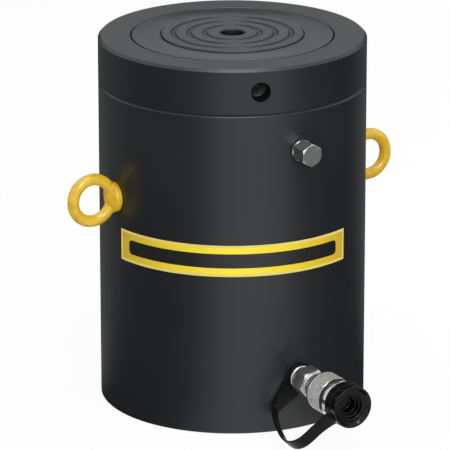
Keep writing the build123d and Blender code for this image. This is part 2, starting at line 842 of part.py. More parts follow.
# The strap itself, as a plain tube along its route
strap_radii = corner_radii(strap_route)
print("strap corner radii", [round(r, 1) for r in strap_radii])
with BuildPart() as dust_cap_strap:
    with BuildLine() as route:
        FilletPolyline(*strap_route, radius=strap_radii)
    with BuildSketch(Plane(route.line @ 0, z_dir=route.line % 0)):
        Circle(strap_solid_d / 2)
    sweep(path=route.line)
dust_cap_strap.part.label = "dust_cap_strap"
export_step(dust_cap_strap.part, "parts/dust_cap_strap.step")
strap_length = route.wire().length
strap_section = pi * strap_solid_d**2 / 4
print("strap length", round(strap_length, 1))
print("strap volume", round(dust_cap_strap.part.volume, 1))
print("its section times its length", round(strap_section * strap_length, 1))
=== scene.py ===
"""Lock nut hydraulic cylinder: finishes, detailed pieces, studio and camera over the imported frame.

Metres, +Z up, the coupler towards -Y and the lifting eyes on +-X, as in the CAD model.
"""
from math import ceil, cos, pi, radians, sin, tau

import bmesh
import bpy
from mathutils import Matrix, Vector, noise


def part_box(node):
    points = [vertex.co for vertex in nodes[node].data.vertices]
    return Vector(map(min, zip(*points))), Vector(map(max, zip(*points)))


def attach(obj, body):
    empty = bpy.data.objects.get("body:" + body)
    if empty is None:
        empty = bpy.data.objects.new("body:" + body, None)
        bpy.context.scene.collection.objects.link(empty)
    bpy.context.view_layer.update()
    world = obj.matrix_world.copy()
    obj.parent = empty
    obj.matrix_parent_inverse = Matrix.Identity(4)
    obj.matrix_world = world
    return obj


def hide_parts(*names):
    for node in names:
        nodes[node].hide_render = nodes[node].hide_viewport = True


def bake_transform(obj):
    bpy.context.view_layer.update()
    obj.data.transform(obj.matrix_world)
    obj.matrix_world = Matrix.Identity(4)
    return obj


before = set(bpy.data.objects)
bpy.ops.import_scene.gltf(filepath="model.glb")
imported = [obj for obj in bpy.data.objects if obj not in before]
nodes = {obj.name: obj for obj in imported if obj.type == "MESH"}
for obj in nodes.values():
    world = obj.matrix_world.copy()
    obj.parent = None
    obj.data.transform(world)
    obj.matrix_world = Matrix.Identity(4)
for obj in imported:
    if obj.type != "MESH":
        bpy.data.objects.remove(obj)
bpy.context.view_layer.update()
MM = 0.001
TINY = 1e-6
# Points of a mesh that are closer than this are one
MEET = 2e-6

# Places that the frame gives
body_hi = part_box("cylinder_body")[1]
nut_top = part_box("lock_nut")[1].z
screw_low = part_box("saddle_screw")[0].z
backup_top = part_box("seal_backup_ring")[1].z
plunger_lo, plunger_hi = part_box("plunger")
saddle_lo, saddle_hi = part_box("saddle")
bearing_lo, bearing_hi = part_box("piston_bearing_ring")
seal_lo, seal_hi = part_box("piston_seal")
plug_lo, plug_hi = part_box("overflow_plug")
collar_lo, collar_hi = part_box("coupler_collar")
cap_lo, cap_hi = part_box("dust_cap")
band_lo, band_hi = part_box("strap_cap_ring")
ring_lo, ring_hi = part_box("strap_ring")
spring_lo, spring_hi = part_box("valve_spring")
eye_lo, eye_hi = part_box("eye_bolt_right")
body_r = body_hi.x
barrel_top = body_hi.z
inlet_z = (collar_lo.z + collar_hi.z) / 2
plug_z = (plug_lo.z + plug_hi.z) / 2
eye_z = (eye_lo.z + eye_hi.z) / 2


def circle(count):
    """Angles all round, from 0."""
    return [tau * k / count for k in range(count)]


def placed(name, data):
    obj = bpy.data.objects.new(name, data)
    bpy.context.scene.collection.objects.link(obj)
    return obj


def fill_ramp(ramp, stops):
    elements = ramp.color_ramp.elements
    while len(elements) < len(stops):
        elements.new(0.5)
    for element, (at, color) in zip(elements, stops):
        element.position = at
        element.color = (*color, 1)


class Finish:
    """A procedural material round one Principled shader."""

    def __init__(self, name, color, rough, metal=0.0, **constants):
        self.mat = bpy.data.materials.new(name)
        self.mat.use_nodes = True
        self.tree = self.mat.node_tree
        self.shader = self.tree.nodes["Principled BSDF"]
        self.shader.inputs["Base Color"].default_value = (*color, 1)
        self.shader.inputs["Roughness"].default_value = rough
        self.shader.inputs["Metallic"].default_value = metal
        for socket, value in constants.items():
            self.shader.inputs[socket.replace("_", " ")].default_value = value
        self.place = self.tree.nodes.new("ShaderNodeTexCoord").outputs["Object"]
        self.height = None

    def link(self, a, b):
        self.tree.links.new(a, b)

    def math(self, operation, a, b=0.0, c=0.0):
        n = self.tree.nodes.new("ShaderNodeMath")
        n.operation = operation
        for socket, value in zip(n.inputs, (a, b, c)):
            if isinstance(value, (int, float)):
                socket.default_value = value
            else:
                self.link(value, socket)
        return n.outputs[0]

    def axis(self, which):
        split = self.tree.nodes.new("ShaderNodeSeparateXYZ")
        self.link(self.place, split.inputs[0])
        return split.outputs[which]

    def radius(self, u, v, u0=0.0, v0=0.0):
        """Distance from an axis: u and v are the two axes across it, u0 and v0 its place."""
        du = self.math("SUBTRACT", self.axis(u), u0)
        dv = self.math("SUBTRACT", self.axis(v), v0)
        squares = self.math("ADD", self.math("MULTIPLY", du, du), self.math("MULTIPLY", dv, dv))
        return self.math("SQRT", squares)

    def grain(self, scale, detail=3.0, rough=0.5, along=None):
        """Noise, 3-D over the piece, or 1-D along a distance."""
        n = self.tree.nodes.new("ShaderNodeTexNoise")
        n.inputs["Scale"].default_value = scale
        n.inputs["Detail"].default_value = detail
        n.inputs["Roughness"].default_value = rough
        if along is not None:
            n.noise_dimensions = "1D"
            self.link(along, n.inputs["W"])
            return n.outputs["Fac"]
        self.link(self.place, n.inputs["Vector"])
        return n.outputs["Fac"]

    def spread(self, value, lo, hi, from_lo=0.3, from_hi=0.7):
        """The value's range mapped to lo and hi, and held there outside it."""
        n = self.tree.nodes.new("ShaderNodeMapRange")
        for socket, number in zip(("From Min", "From Max", "To Min", "To Max"), (from_lo, from_hi, lo, hi)):
            n.inputs[socket].default_value = number
        self.link(value, n.inputs["Value"])
        return n.outputs["Result"]

    def colours(self, value, *stops):
        ramp = self.tree.nodes.new("ShaderNodeValToRGB")
        fill_ramp(ramp, stops)
        self.link(value, ramp.inputs["Fac"])
        self.link(ramp.outputs["Color"], self.shader.inputs["Base Color"])

    def roughen(self, value, lo, hi):
        self.link(self.spread(value, lo, hi), self.shader.inputs["Roughness"])

    def bump(self, height, distance, strength=1.0):
        n = self.tree.nodes.new("ShaderNodeBump")
        n.inputs["Distance"].default_value = distance
        n.inputs["Strength"].default_value = strength
        self.link(height, n.inputs["Height"])
        if self.height is not None:
            self.link(self.height, n.inputs["Normal"])
        self.height = n.outputs["Normal"]
        self.link(self.height, self.shader.inputs["Normal"])

    def streak(self, axis, amount):
        """Highlights drawn out as on a turned face."""
        t = self.tree.nodes.new("ShaderNodeTangent")
        t.direction_type = "RADIAL"
        t.axis = axis
        self.link(t.outputs["Tangent"], self.shader.inputs["Tangent"])
        self.shader.inputs["Anisotropic"].default_value = amount


# Painted highlight along the barrel's upper edge: how far below the top it starts, and where it is full
EDGE_HIGHLIGHT_FROM = 1.5 * MM
EDGE_HIGHLIGHT_FULL = 0.9 * MM


def enamel(name, dark, light, edge_highlight=None):
    """Satin paint: faint orange peel, dust-fine sparkle in the roughness, a slow drift of tone.

    The last colour, if given, is a painted highlight in a thin band along the barrel's upper edge."""
    f = Finish(name, dark, 0.34)
    drift = f.grain(9, 2)
    if edge_highlight:
        # painted highlight: the colour turns lighter in a thin band just below the barrel's top edge
        edge_highlight_share = f.spread(f.axis("Z"), 0.0, 0.5, barrel_top - EDGE_HIGHLIGHT_FROM, barrel_top - EDGE_HIGHLIGHT_FULL)
        tone = f.math("MULTIPLY_ADD", drift, 0.5, edge_highlight_share)
        f.colours(tone, (0.15, dark), (0.35, light), (0.55, light), (0.7, edge_highlight))
    else:
        f.colours(drift, (0.3, dark), (0.7, light))
    f.roughen(f.grain(420, 2), 0.29, 0.37)
    f.bump(f.grain(700, 2), 0.00004, 0.5)
    return f


TURNED_STREAK = 0.6
# the last colour is the painted highlight on the barrel's upper edge
body_paint = enamel("body_enamel", (0.0105, 0.0122, 0.0136), (0.0125, 0.0143, 0.0157), (0.05, 0.053, 0.056))
body_paint.bump(body_paint.grain(1400, 2, along=body_paint.axis("Z")), 0.000015, 0.35)
nut_paint = enamel("nut_enamel", (0.0098, 0.0117, 0.0134), (0.0118, 0.0138, 0.0155))
nut_paint.bump(nut_paint.grain(900, 3, along=nut_paint.radius("X", "Y")), 0.00002, 0.4)
nut_paint.streak("Z", TURNED_STREAK)


def turned(name, dark, light, rough, metal, along, marks=0.00003, scale=1500, tones=None):
    """Turned metal: fine rings of tool marks along a distance, with slow stains over them.

    tones(finish, dark, light) can colour it in its own way."""
    f = Finish(name, dark, rough[0], metal)
    rings = f.grain(scale, 4, 0.7, along=along(f))
    stains = f.grain(45, 4)
    if tones:
        tones(f, dark, light)
    else:
        mottle = f.math("MULTIPLY_ADD", rings, 0.6, f.math("MULTIPLY", stains, 0.4))
        f.colours(mottle, (0.35, dark), (0.65, light))
    f.roughen(f.math("MULTIPLY_ADD", stains, 0.5, f.math("MULTIPLY", rings, 0.5)), rough[0], rough[1])
    f.bump(rings, marks, 0.6)
    return f


def about_z(f):
    return f.radius("X", "Y")


def about_inlet(f):
    return f.math("ADD", f.radius("X", "Z", 0.0, inlet_z), f.axis("Y"))


def about_plug(f):
    return f.math("ADD", f.radius("X", "Z", 0.0, plug_z), f.axis("Y"))


# The saddle's grooves: the innermost one's radius, the way between two, and how wide each is painted dark as
# shade
GROOVE_FIRST_R = 31.5 * MM
GROOVE_PITCH = 18.25 * MM
GROOVE_DARK = 2.2 * MM
GROOVE_CLEAR = 4.4 * MM


def shaded_grooves(f, dark, light):
    """Painted shade: the saddle's grooves are darkened in colour, as the shade that lies in them, over a slow
    random grain.
    """
    from_groove = f.math("PINGPONG", f.math("SUBTRACT", about_z(f), GROOVE_FIRST_R), GROOVE_PITCH / 2)
    on_land = f.spread(from_groove, 0.0, 1.0, GROOVE_DARK, GROOVE_CLEAR)
    grain_and_groove_shade = f.math("MULTIPLY_ADD", f.grain(60, 4), 0.3, f.math("MULTIPLY", on_land, 0.7))
    f.colours(grain_and_groove_shade, (0.12, (0.004, 0.0045, 0.005)), (0.3, (0.011, 0.012, 0.0135)), (0.8, dark), (0.95, light))


def bright_as_far_as(edge, *bright):
    """Colours a turned piece with the bright tones out to a distance from the barrel, and its own past it."""

    def tones(f, dark, light):
        past = f.math("GREATER_THAN", f.math("MULTIPLY", f.axis("Y"), -1), body_r + edge)
        tone = f.math("MULTIPLY_ADD", past, 0.5, f.math("MULTIPLY", f.grain(1800, 3), 0.5))
        f.colours(tone, (0.18, bright[0]), (0.34, bright[1]), (0.66, dark), (0.84, light))

    return tones


RIM_END = 36.6 * MM
PLUG_FLANGE_END = 3.9 * MM
bright_rim = bright_as_far_as(RIM_END, (0.7, 0.7, 0.69), (0.84, 0.84, 0.83))
bright_flange = bright_as_far_as(PLUG_FLANGE_END, (0.84, 0.85, 0.85), (0.92, 0.93, 0.93))

plunger_steel = turned("thread_steel", (0.022, 0.024, 0.026), (0.03, 0.032, 0.035), (0.3, 0.42), 0.1, about_z)
plunger_steel.streak("Z", TURNED_STREAK)
# the saddle's colour carries painted shade in its grooves
saddle_steel = turned("saddle_steel", (0.026, 0.028, 0.031), (0.034, 0.037, 0.041), (0.28, 0.4), 0.12,
                      about_z, tones=shaded_grooves)
saddle_steel.streak("Z", TURNED_STREAK)
screw_steel = turned("screw_black", (0.006, 0.006, 0.007), (0.012, 0.012, 0.013), (0.3, 0.45), 0.6, about_z)
zinc = turned("zinc_steel", (0.4, 0.4, 0.39), (0.72, 0.72, 0.71), (0.16, 0.34), 0.92, about_inlet,
              0.00002, 2200)
# A darker zinc: the hexagon's flats, and painted shade in the necks and on the flange's outer face
zinc_flats_and_recess_shade = turned("zinc_flats_and_recess_shade", (0.14, 0.14, 0.14), (0.46, 0.46, 0.45), (0.2, 0.46), 0.9, about_inlet,
                    0.00003, 1100)
coupler_metal = turned("coupler_metal", (0.16, 0.16, 0.16), (0.3, 0.3, 0.3), (0.2, 0.36), 0.9, about_inlet,
                       0.00001, 2200, bright_rim)
plug_zinc = turned("plug_zinc", (0.2, 0.205, 0.205), (0.42, 0.43, 0.43), (0.2, 0.3), 0.85, about_plug,
                   0.000004, 2400, bright_flange)
plug_zinc.streak("Y", 0.88)
collar_band = turned("collar_steel", (0.45, 0.45, 0.44), (0.68, 0.68, 0.67), (0.12, 0.22), 1.0, about_inlet,
                     0.00001, 2200)
collar_grip = Finish("collar_knurl", (0.6, 0.6, 0.59), 0.42, 0.85)
collar_grip.colours(collar_grip.grain(650, 4, 0.7), (0.36, (0.28, 0.28, 0.27)), (0.6, (0.88, 0.88, 0.86)))
collar_grip.roughen(collar_grip.grain(1500, 2), 0.3, 0.5)
collar_grip.bump(collar_grip.grain(2600, 2), 0.00006, 0.6)
ball_chrome = turned("ball_steel", (0.55, 0.55, 0.57), (0.62, 0.62, 0.64), (0.05, 0.12), 1.0, about_inlet,
                     0.000004)
spring_wire = turned("spring_steel", (0.3, 0.3, 0.31), (0.4, 0.4, 0.41), (0.25, 0.4), 1.0, about_inlet,
                     0.00001)
copper = turned("copper", (0.45, 0.16, 0.08), (0.6, 0.25, 0.13), (0.3, 0.45), 1.0, about_plug)
bronze = turned("bronze", (0.36, 0.2, 0.07), (0.48, 0.28, 0.1), (0.28, 0.42), 1.0, about_z)


def moulded(name, dark, light, rough, grain_size=800, depth=0.00003):
    """Moulded rubber or plastic: even colour with a fine skin."""
    f = Finish(name, dark, rough[0])
    f.colours(f.grain(60, 3), (0.3, dark), (0.7, light))
    f.roughen(f.grain(grain_size / 4, 3), rough[0], rough[1])
    f.bump(f.grain(grain_size, 3), depth, 0.5)
    return f


rubber = moulded("black_rubber", (0.0016, 0.0017, 0.0019), (0.0036, 0.0038, 0.0041), (0.24, 0.36))
rubber.shader.inputs["Specular IOR Level"].default_value = 0.14
cap_plastic = moulded("cap_black", (0.001, 0.0011, 0.0012), (0.002, 0.0022, 0.0023), (0.1, 0.16),
                      1200, 0.000006)
cap_plastic.shader.inputs["Specular IOR Level"].default_value = 0.25
seal_blue = moulded("seal_blue", (0.012, 0.03, 0.09), (0.018, 0.042, 0.115), (0.25, 0.4))
backup_white = moulded("backup_white", (0.62, 0.6, 0.54), (0.72, 0.7, 0.64), (0.35, 0.5))
bearing_green = moulded("bearing_green", (0.03, 0.055, 0.042), (0.05, 0.08, 0.062), (0.5, 0.65),
                        1600, 0.00004)

# Thick yellow paint over a forging: deeper where it pools, small dents that catch the light
eye_paint = Finish("eye_yellow", (0.72, 0.42, 0.015), 0.26, 0.0, Coat_Weight=0.35, Coat_Roughness=0.12)
eye_paint.colours(
    eye_paint.grain(70, 3),
    (0.28, (0.64, 0.37, 0.012)),
    (0.5, (0.74, 0.47, 0.02)),
    (0.75, (0.8, 0.54, 0.03)),
)
eye_paint.roughen(eye_paint.grain(350, 3), 0.2, 0.32)
eye_paint.bump(eye_paint.grain(260, 3), 0.0003, 0.6)

finish_of = {
    "cylinder_body": body_paint,
    "lock_nut": nut_paint,
    "plunger": plunger_steel,
    "saddle": saddle_steel,
    "saddle_screw": screw_steel,
    "eye_bolt_left": eye_paint,
    "eye_bolt_right": eye_paint,
    "overflow_plug": plug_zinc,
    "overflow_washer": copper,
    "guide_bush": bronze,
    "rod_wiper": seal_blue,
    "gland_retaining_ring": spring_wire,
    "piston_bearing_ring": bearing_green,
    "piston_seal": seal_blue,
    "seal_backup_ring": backup_white,
    "strap_ring": rubber,
    "port_adapter": zinc,
    "coupler_body": coupler_metal,
    "coupler_collar": collar_band,
    "collar_retaining_ring": spring_wire,
    "coupler_o_ring": rubber,
    "valve_ball": ball_chrome,
    "valve_spring": spring_wire,
    "dust_cap": cap_plastic,
    "strap_cap_ring": rubber,
    "dust_cap_strap": rubber,
}
for name, obj in nodes.items():
    for slot in obj.material_slots:
        slot.link = "OBJECT"
        slot.material = finish_of[name].mat


def finished(name, mesh, materials, body, slot, *replaced, smooth_angle=32):
    """Links a mesh as a piece of the object, smooth but for its hard edges; body None leaves it unridden."""
    for material in materials:
        mesh.materials.append(material.mat)
    for polygon in mesh.polygons:
        polygon.use_smooth = True
    mesh.set_sharp_from_angle(angle=radians(smooth_angle))
    obj = placed(name, mesh)
    if body is not None:
        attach(obj, body)
    if replaced:
        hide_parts(*replaced)
    return obj


def grid_mesh(name, rows, close_rows=False, close_columns=True, tone=None):
    """A mesh over rows of points: close_columns joins each row's ends, close_rows the last row to the first,
    and tone(i, j) is the number of each face's material."""
    mesh = bpy.data.meshes.new(name)
    width = len(rows[0])
    points = [point for row in rows for point in row]
    faces = []
    tones = []
    for i in range(len(rows) if close_rows else len(rows) - 1):
        for j in range(width if close_columns else width - 1):
            a = i * width + j
            b = i * width + (j + 1) % width
            below = ((i + 1) % len(rows)) * width
            faces.append((a, b, below + (j + 1) % width, below + j))
            tones.append(tone(i, j) if tone else 0)
    mesh.from_pydata(points, [], faces)
    mesh.validate()
    if tone and len(mesh.polygons) == len(tones):
        mesh.polygons.foreach_set("material_index", tones)
    return mesh


def rounded(profile, radii, steps=4):
    """The (distance, radius) profile with its corners rounded by one radius each, where 0 keeps a corner."""
    out = []
    count = len(profile)
    for i, (point, radius) in enumerate(zip(profile, radii)):
        here = Vector(point)
        if radius == 0:
            out.append(tuple(here))
            continue
        before = Vector(profile[i - 1]) - here
        after = Vector(profile[(i + 1) % count]) - here
        half = before.angle(after) / 2
        most = 0.49 * min(before.length, after.length)
        reach = min(radius / max(abs(sin(half) / cos(half)), TINY), most)
        start = here + before.normalized() * reach
        end = here + after.normalized() * reach
        for k in range(steps + 1):
            t = k / steps
            out.append(tuple(start * (1 - t) ** 2 + here * 2 * t * (1 - t) + end * t**2))
    return out


def lathe(name, profile, place, steps=160, closed=True, wave=None, tone=None):
    """Revolves a (distance, radius) profile. place(distance, radius, angle) gives the point."""
    rows = []
    for i, (distance, radius) in enumerate(profile):
        row = []
        for angle in circle(steps):
            r = max(radius, TINY)
            if wave:
                r += wave(i, distance, angle)
            row.append(place(distance, r, angle))
        rows.append(row)
    return grid_mesh(name, rows, close_rows=closed, tone=tone)


def outward(distance, radius, angle):
    """A point round the coupler's axis, at a distance out from the barrel."""
    return (radius * cos(angle), -body_r - distance, inlet_z + radius * sin(angle))


def out_span(lo, hi):
    """How far out from the barrel a box starts and ends."""
    return -hi.y - body_r, -lo.y - body_r


def upward(distance, radius, angle):
    return (radius * cos(angle), radius * sin(angle), distance)


def outward_facing(mesh):
    """The same mesh, closed where its points meet and with its faces turned outward."""
    bm = bmesh.new()
    bm.from_mesh(mesh)
    bmesh.ops.remove_doubles(bm, verts=bm.verts, dist=MEET)
    bmesh.ops.recalc_face_normals(bm, faces=bm.faces)
    bm.to_mesh(mesh)
    bm.free()
    return mesh


def applied(obj):
    """The mesh of an object with its modifiers applied; the object itself is removed."""
    depsgraph = bpy.context.evaluated_depsgraph_get()
    mesh = bpy.data.meshes.new_from_object(obj.evaluated_get(depsgraph))
    bpy.data.objects.remove(obj)
    return mesh


# Softened edges of turned pieces, which catch the light
for name, width in (("saddle", 0.3), ("overflow_plug", 0.25), ("coupler_body", 0.25)):
    weld = nodes[name].modifiers.new("weld", "WELD")
    weld.merge_threshold = 0.002 * MM
    soften = nodes[name].modifiers.new("soften", "BEVEL")
    soften.width = width * MM
    soften.segments = 2
    soften.limit_method = "ANGLE"
    soften.angle_limit = radians(35)
    soften.harden_normals = True


# Lifting eyes
EYE_RING_D = 63 * MM
EYE_HOLE_D = 36 * MM
EYE_COLLAR_R = 17.5 * MM
EYE_COLLAR_T = 8 * MM
EYE_SHANK_R = 8 * MM
EYE_THREAD = 27 * MM
EYE_VOXEL = 0.75 * MM
EYE_RING_STEPS = 96
EYE_RING_SIDES = 32
EYE_STEM_STEPS = 64
EYE_AXIS_R = 0.01 * MM
EYE_MEET = 0.05 * MM
eye_reach = eye_hi.x
eye_ring_centre = eye_reach - EYE_RING_D / 2
eye_minor = (EYE_RING_D - EYE_HOLE_D) / 4
eye_major = (EYE_RING_D + EYE_HOLE_D) / 4
eye_seat = eye_lo.x + EYE_THREAD


def forged_eye(name, side):
    """One forging: ring, collar and shank fused by a voxel remesh, then softened and made uneven."""
    bm = bmesh.new()
    ring = []
    for a in circle(EYE_RING_STEPS):
        row = []
        for b in circle(EYE_RING_SIDES):
            r = eye_major + eye_minor * cos(b)
            row.append(bm.verts.new((eye_ring_centre + r * cos(a), eye_minor * sin(b), eye_z + r * sin(a))))
        ring.append(row)
    for i in range(EYE_RING_STEPS):
        for j in range(EYE_RING_SIDES):
            k = (i + 1) % EYE_RING_STEPS
            m = (j + 1) % EYE_RING_SIDES
            bm.faces.new((ring[i][j], ring[k][j], ring[k][m], ring[i][m]))
    flare = (
        (eye_lo.x, 0.0),
        (eye_lo.x, EYE_SHANK_R - 1.5 * MM),
        (eye_lo.x + 1.5 * MM, EYE_SHANK_R),
        (eye_seat, EYE_SHANK_R),
        (eye_seat, EYE_COLLAR_R - 0.6 * MM),
        (eye_seat + 0.6 * MM, EYE_COLLAR_R),
        (eye_seat + EYE_COLLAR_T - 1.6 * MM, EYE_COLLAR_R),
        (eye_seat + EYE_COLLAR_T - 0.4 * MM, EYE_COLLAR_R - 0.8 * MM),
        (eye_seat + EYE_COLLAR_T + 1.4 * MM, 11.4 * MM),
        (eye_seat + EYE_COLLAR_T + 3.2 * MM, 8.2 * MM),
        (eye_seat + EYE_COLLAR_T + 4.6 * MM, 6.4 * MM),
        (eye_seat + EYE_COLLAR_T + 5.5 * MM, 0.0),
    )
    stem = []
    for x, r in flare:
        r = max(r, EYE_AXIS_R)
        row = []
        for a in circle(EYE_STEM_STEPS):
            row.append(bm.verts.new((x, r * cos(a), eye_z + r * sin(a))))
        stem.append(row)
    for i in range(len(flare) - 1):
        for j in range(EYE_STEM_STEPS):
            m = (j + 1) % EYE_STEM_STEPS
            bm.faces.new((stem[i][j], stem[i + 1][j], stem[i + 1][m], stem[i][m]))
    bmesh.ops.remove_doubles(bm, verts=bm.verts, dist=EYE_MEET)
    bmesh.ops.recalc_face_normals(bm, faces=bm.faces)
    mesh = bpy.data.meshes.new(name)
    bm.to_mesh(mesh)
    bm.free()
    shape = placed(name + "_shape", mesh)
    remesh = shape.modifiers.new("fuse", "REMESH")
    remesh.mode = "VOXEL"
    remesh.voxel_size = EYE_VOXEL
    soft = shape.modifiers.new("soften", "SMOOTH")
    soft.factor = 0.6
    soft.iterations = 7
    mesh = applied(shape)
    for v in mesh.vertices:
        if v.co.x > eye_seat + 2 * MM:
            lump = noise.noise(v.co * 90) * 0.16 + noise.noise(v.co * 240) * 0.06
            v.co += v.normal * lump * MM
        v.co.x = min(v.co.x, eye_reach)
    if side < 0:
        mesh.transform(Matrix.Scale(-1, 4, (1, 0, 0)))
        mesh.flip_normals()
    return mesh


for name, side in (("eye_bolt_right", 1), ("eye_bolt_left", -1)):
    eye_mesh = forged_eye(name, side)
    finished("forged_" + name, eye_mesh, [eye_paint], "root", "eye_yellow", name, smooth_angle=70)


# Plunger, with its thread and the grooves for its rings
THREAD_PITCH = 6 * MM
THREAD_DEPTH = 3 * MM
THREAD_STEPS = 180
TOP_BAND = 5 * MM
TOP_RELIEF = 1.3 * MM
PISTON_LAND = 5 * MM
RING_GAP = 0.1 * MM
BEARING_T = 3 * MM
SEAL_T = 8.5 * MM
SCREW_HOLE_R = 6.1 * MM
SCREW_HOLE_SPARE = 6 * MM
crest_r = plunger_hi.x - 1.8 * MM
pocket_r = saddle_hi.x + RING_GAP
piston_r = plunger_hi.x
bearing_r = bearing_hi.x - BEARING_T
seal_r = seal_hi.x - SEAL_T
backup_seat = backup_top + RING_GAP
piston_top = backup_seat + PISTON_LAND
foot_top = bearing_lo.z - PISTON_LAND
foot_r = piston_r - 7 * MM


# A trapezoidal thread: its depth, from 1 at the root to 0 at the crest, at places along one pitch
THREAD_FORM = (
    (0.0, 1.0),
    (0.18, 1.0),
    (0.37, 1.0),
    (0.435, 0.5),
    (0.5, 0.0),
    (0.685, 0.0),
    (0.87, 0.0),
    (0.935, 0.5),
)


def turned_rows(profile):
    """Rings of points about the object's axis, one for each (height, radius)."""
    return [[upward(z, max(r, TINY), a) for a in circle(THREAD_STEPS)] for z, r in profile]


def thread_rows(low, high):
    """The thread as one long spiral strip, plain at the crest's radius below low and above high."""
    rows = []
    for turn in range(-1, ceil((high - low) / THREAD_PITCH) + 1):
        for place, depth in THREAD_FORM:
            row = []
            for j in range(THREAD_STEPS + 1):
                share = j / THREAD_STEPS
                z = low + (turn + place + share) * THREAD_PITCH
                r = crest_r - THREAD_DEPTH * depth
                if z <= low or z >= high:
                    r = crest_r
                row.append(upward(min(max(z, low), high), r, tau * share))
            rows.append(row)
    return rows


def threaded_plunger():
    low = piston_top + 2 * MM
    high = nut_top - TOP_BAND
    profile_low = [
        (plunger_lo.z, 0.0),
        (plunger_lo.z, foot_r - 6 * MM),
        (plunger_lo.z + 6 * MM, foot_r),
        (foot_top, foot_r),
        (foot_top, piston_r),
        (bearing_lo.z, piston_r),
        (bearing_lo.z, bearing_r),
        (bearing_hi.z + RING_GAP, bearing_r),
        (bearing_hi.z + RING_GAP, piston_r),
        (seal_lo.z, piston_r),
        (seal_lo.z, seal_r),
        (backup_seat, seal_r),
        (backup_seat, piston_r),
        (piston_top, piston_r),
        (piston_top, crest_r),
        (low, crest_r),
    ]
    profile_high = [
        (high, crest_r),
        (high + 0.4 * MM, crest_r - TOP_RELIEF),
        (nut_top - 0.5 * MM, crest_r - TOP_RELIEF),
        (nut_top - 0.15 * MM, crest_r - TOP_RELIEF - 0.15 * MM),
        (nut_top, crest_r - TOP_RELIEF - 0.5 * MM),
        (nut_top, pocket_r + TOP_RELIEF + 0.3 * MM),
        (nut_top - 0.3 * MM, pocket_r + TOP_RELIEF),
        (nut_top - 2.2 * MM, pocket_r + TOP_RELIEF),
        (nut_top - 2.2 * MM, pocket_r),
        (saddle_lo.z, pocket_r),
        (saddle_lo.z, SCREW_HOLE_R),
        (screw_low - SCREW_HOLE_SPARE, SCREW_HOLE_R),
        (screw_low - SCREW_HOLE_SPARE, 0.0),
    ]
    bm = bmesh.new()

    def add(rows, closed):
        made = [[bm.verts.new(p) for p in row] for row in rows]
        width = len(rows[0])
        for a, b in zip(made, made[1:]):
            for j in range(width if closed else width - 1):
                m = (j + 1) % width
                bm.faces.new((a[j], a[m], b[m], b[j]))

    add(turned_rows(profile_low), True)
    add(thread_rows(low, high), False)
    add(turned_rows(profile_high), True)
    bmesh.ops.remove_doubles(bm, verts=bm.verts, dist=MEET)
    bmesh.ops.dissolve_degenerate(bm, dist=TINY, edges=bm.edges)
    bmesh.ops.recalc_face_normals(bm, faces=bm.faces)
    mesh = bpy.data.meshes.new("threaded_plunger")
    bm.to_mesh(mesh)
    bm.free()
    return mesh


finished("threaded_plunger", threaded_plunger(), [plunger_steel], "plunger_group", "thread_steel", "plunger")


# Nipple: thread, flange, neck and a hexagon whose corners are turned off
NIPPLE_THREAD_R = 8.5 * MM
NIPPLE_BORE_R = 3.5 * MM
NIPPLE_START = -14.95 * MM
NIPPLE_END = 45.05 * MM
FLANGE_R = 14.6 * MM
FLANGE_START = 3.05 * MM
FLANGE_END = 6.2 * MM
NECK_R = 11.5 * MM
HEX_START = 12.55 * MM
HEX_END = 33.55 * MM
HEX_FLAT_R = 16 * MM
HEX_FACE_R = 15.7 * MM
HEX_TURN = radians(10)
HEX_CHAMFER = 1.73


def nipple_profile():
    """Rows of (distance, radius, whether the hexagon cuts it, finish): finish 1 is the darker zinc, the
    hexagon flats' own and painted shade on the necks and the flange's outer face.
    """
    rows = [
        (NIPPLE_START, NIPPLE_BORE_R, False, 0),
        (NIPPLE_START, NIPPLE_THREAD_R - 1 * MM, False, 0),
        (NIPPLE_START + 1 * MM, NIPPLE_THREAD_R, False, 0),
        (FLANGE_START, NIPPLE_THREAD_R, False, 0),
        (FLANGE_START, FLANGE_R - 0.4 * MM, False, 0),
        (FLANGE_START + 0.4 * MM, FLANGE_R, False, 0),
        (FLANGE_END - 1.1 * MM, FLANGE_R, False, 0),
        (FLANGE_END - 0.5 * MM, FLANGE_R - 0.35 * MM, False, 0),
        # the flange's outer face and the neck behind the hexagon are painted darker, as the shade between
        # flange and hexagon
        (FLANGE_END, FLANGE_R - 1.2 * MM, False, 1),
        (FLANGE_END, NECK_R + 0.6 * MM, False, 1),
        (FLANGE_END + 0.6 * MM, NECK_R, False, 1),
        (HEX_START, NECK_R, False, 0),
    ]
    steps = (0, 0.35 * MM, 0.8 * MM, 1.3 * MM, 1.8 * MM)
    rows += [(HEX_START + d, HEX_FACE_R + d * HEX_CHAMFER, True, 0) for d in steps]
    rows[-1] = (*rows[-1][:3], 1)
    rows += [(HEX_END - d, HEX_FACE_R + d * HEX_CHAMFER, True, 0) for d in reversed(steps)]
    rows += [
        # the short neck past the hexagon is painted darker too, as shade
        (HEX_END, NECK_R, False, 1),
        (HEX_END + 0.5 * MM, NECK_R, False, 0),
        (HEX_END + 0.5 * MM, NIPPLE_THREAD_R, False, 0),
        (NIPPLE_END, NIPPLE_THREAD_R, False, 0),
        (NIPPLE_END, NIPPLE_BORE_R, False, 0),
    ]
    return rows


nipple_rows = nipple_profile()


def hexagon(i, distance, angle):
    """How far the hexagon's flats lie inside the turned radius."""
    if not nipple_rows[i][2]:
        return 0.0
    across = HEX_FLAT_R / cos((angle - HEX_TURN) % (pi / 3) - pi / 6)
    return min(across - nipple_rows[i][1], 0.0)


def nipple_tone(i, j):
    return nipple_rows[i][3]


nipple_points = [row[:2] for row in nipple_rows]
nipple_mesh = outward_facing(
    lathe("hexagon_nipple", nipple_points, outward, steps=360, wave=hexagon, tone=nipple_tone)
)
finished("hexagon_nipple", nipple_mesh, [zinc, zinc_flats_and_recess_shade], "root", "zinc_steel", "port_adapter")


